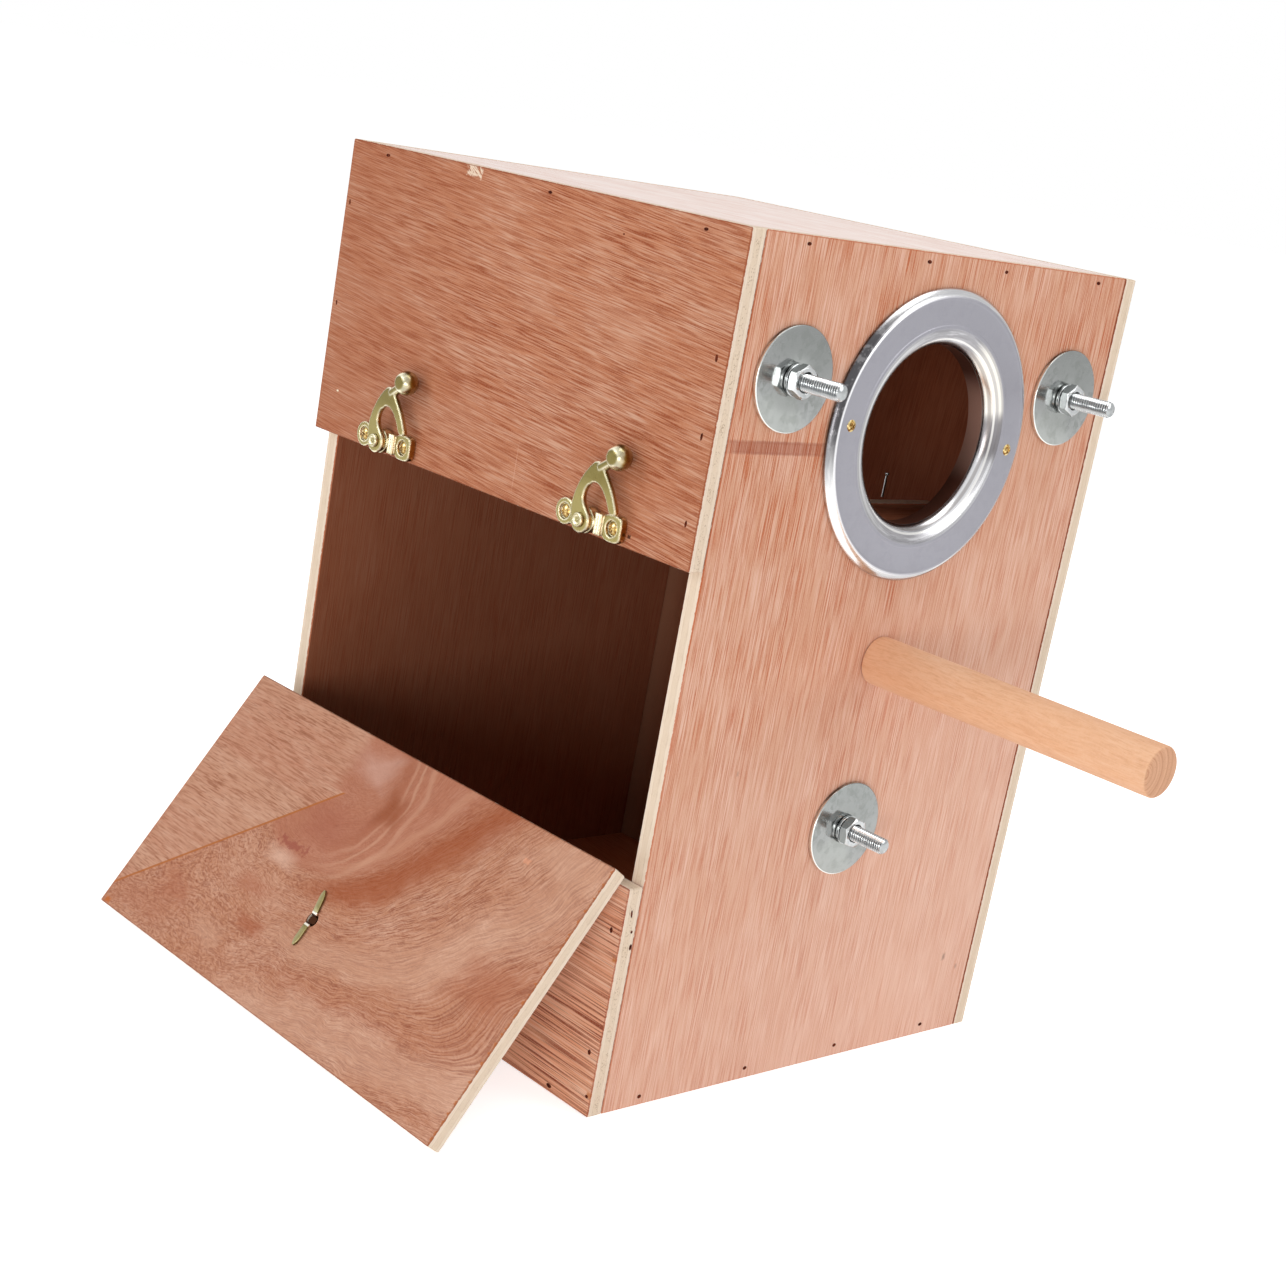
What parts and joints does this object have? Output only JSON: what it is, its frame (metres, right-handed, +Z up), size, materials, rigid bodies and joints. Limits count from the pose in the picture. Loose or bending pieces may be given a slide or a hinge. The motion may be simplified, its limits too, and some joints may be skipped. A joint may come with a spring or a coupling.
{
  "type": "nest box",
  "caption": "Plywood nest box for small cage birds, with a metal-ringed entry hole, a perch, a drop-down side door on brass hinges with swing latches, and cage mounting bolts.",
  "frame": {"origin": "middle of the box's underside, on the surface that it stands on", "axes": "+Z up; the front with the entry hole, perch and mounting bolts faces -Y; the side with the drop-down door and its latches faces -X"},
  "size_m": [0.2739, 0.33, 0.3],
  "materials": {
    "front_plywood": "bare salmon-pink plywood, vertical grain",
    "side_plywood": "bare red-brown plywood, level grain with dark pores",
    "door_plywood": "bare red-brown plywood with a figured swirl",
    "perch_wood": "bare turned hardwood",
    "stainless_steel": "satin flange with polished rims",
    "zinc_plate": "bright zinc plating",
    "polished_brass": "polished, with a little tarnish"
  },
  "bodies": {
    "box": {"front_panel": "front_plywood", "back_panel": "front_plywood", "closed_side_panel": "side_plywood", "door_side_upper_panel": "side_plywood", "door_side_lower_panel": "side_plywood", "floor_panel": "side_plywood", "roof_panel": "side_plywood", "landing_step": "front_plywood", "landing_step_lip": "front_plywood", "entry_ring": "stainless_steel", "ring_screw_left": "polished_brass", "ring_screw_right": "polished_brass", "perch_dowel": "perch_wood", "perch_screw": "zinc_plate", "mounting_bolt_1": "zinc_plate", "mounting_bolt_2": "zinc_plate", "mounting_bolt_3": "zinc_plate", "latch_plate_rear": "polished_brass", "latch_plate_front": "polished_brass", "latch_rivet_rear": "polished_brass", "latch_rivet_front": "polished_brass", "latch_screw_rear_left": "polished_brass", "latch_screw_rear_right": "polished_brass", "latch_screw_front_left": "polished_brass", "latch_screw_front_right": "polished_brass", "hinge_fixed_leaf_rear": "polished_brass", "hinge_fixed_leaf_front": "polished_brass", "hinge_pin_rear": "polished_brass", "hinge_pin_front": "polished_brass", "hinge_screw_rear_lower_left": "polished_brass", "hinge_screw_rear_lower_right": "polished_brass", "hinge_screw_front_lower_left": "polished_brass", "hinge_screw_front_lower_right": "polished_brass"},
    "door": {"door_panel": "door_plywood", "catch_plate_rear": "polished_brass", "catch_plate_front": "polished_brass", "catch_screw_rear_left": "polished_brass", "catch_screw_rear_right": "polished_brass", "catch_screw_front_left": "polished_brass", "catch_screw_front_right": "polished_brass", "hinge_door_leaf_rear": "polished_brass", "hinge_door_leaf_front": "polished_brass", "hinge_screw_rear_door_left": "polished_brass", "hinge_screw_rear_door_right": "polished_brass", "hinge_screw_front_door_left": "polished_brass", "hinge_screw_front_door_right": "polished_brass", "pull_rosette": "polished_brass", "pull_split_pin": "polished_brass"},
    "pull_ring": {"pull_ring": "polished_brass"},
    "latch_arm_rear": {"latch_arm_rear": "polished_brass"},
    "latch_arm_front": {"latch_arm_front": "polished_brass"},
    "clamp_1": {"penny_washer_1": "zinc_plate", "spring_washer_1": "zinc_plate"},
    "nut_1": {"mounting_nut_1": "zinc_plate"},
    "clamp_2": {"penny_washer_2": "zinc_plate", "spring_washer_2": "zinc_plate"},
    "nut_2": {"mounting_nut_2": "zinc_plate"},
    "clamp_3": {"penny_washer_3": "zinc_plate", "spring_washer_3": "zinc_plate"},
    "nut_3": {"mounting_nut_3": "zinc_plate"}
  },
  "joints": [
    {"name": "door_hinge", "type": "hinge", "parent": "box", "child": "door", "pos_m": [-0.1046, 0, 0.0858], "axis": [0, 1, 0], "range_deg": [0, 145.1]},
    {"name": "pull_ring_swing", "type": "hinge", "parent": "door", "child": "pull_ring", "pos_m": [-0.14042, 0, 0.02838], "axis": [0, 1, 0], "range_deg": [-140, 29]},
    {"name": "latch_turn_rear", "type": "hinge", "parent": "box", "child": "latch_arm_rear", "pos_m": [-0.1073, 0.0578, 0.1967], "axis": [1, 0, 0], "range_deg": [0, 160]},
    {"name": "latch_turn_front", "type": "hinge", "parent": "box", "child": "latch_arm_front", "pos_m": [-0.1073, -0.0578, 0.1967], "axis": [1, 0, 0], "range_deg": [0, 160]},
    {"name": "clamp_slide_1", "type": "slide", "parent": "box", "child": "clamp_1", "axis": [0, -1, 0], "range_m": [0, 0.01]},
    {"name": "nut_turn_1", "type": "hinge", "parent": "clamp_1", "child": "nut_1", "pos_m": [-0.0725, -0.111, 0.255], "axis": [0, -1, 0], "range_deg": [0, 3601]},
    {"name": "clamp_slide_2", "type": "slide", "parent": "box", "child": "clamp_2", "axis": [0, -1, 0], "range_m": [0, 0.01]},
    {"name": "nut_turn_2", "type": "hinge", "parent": "clamp_2", "child": "nut_2", "pos_m": [0.0725, -0.111, 0.255], "axis": [0, -1, 0], "range_deg": [0, 3601]},
    {"name": "clamp_slide_3", "type": "slide", "parent": "box", "child": "clamp_3", "axis": [0, -1, 0], "range_m": [0, 0.01]},
    {"name": "nut_turn_3", "type": "hinge", "parent": "clamp_3", "child": "nut_3", "pos_m": [0, -0.111, 0.095], "axis": [0, -1, 0], "range_deg": [0, 3601]}
  ],
  "couplings": [
    {"joint": "nut_turn_1", "follows": "clamp_slide_1", "rad_per_m": 6283.2},
    {"joint": "nut_turn_2", "follows": "clamp_slide_2", "rad_per_m": 6283.2},
    {"joint": "nut_turn_3", "follows": "clamp_slide_3", "rad_per_m": 6283.2}
  ]
}
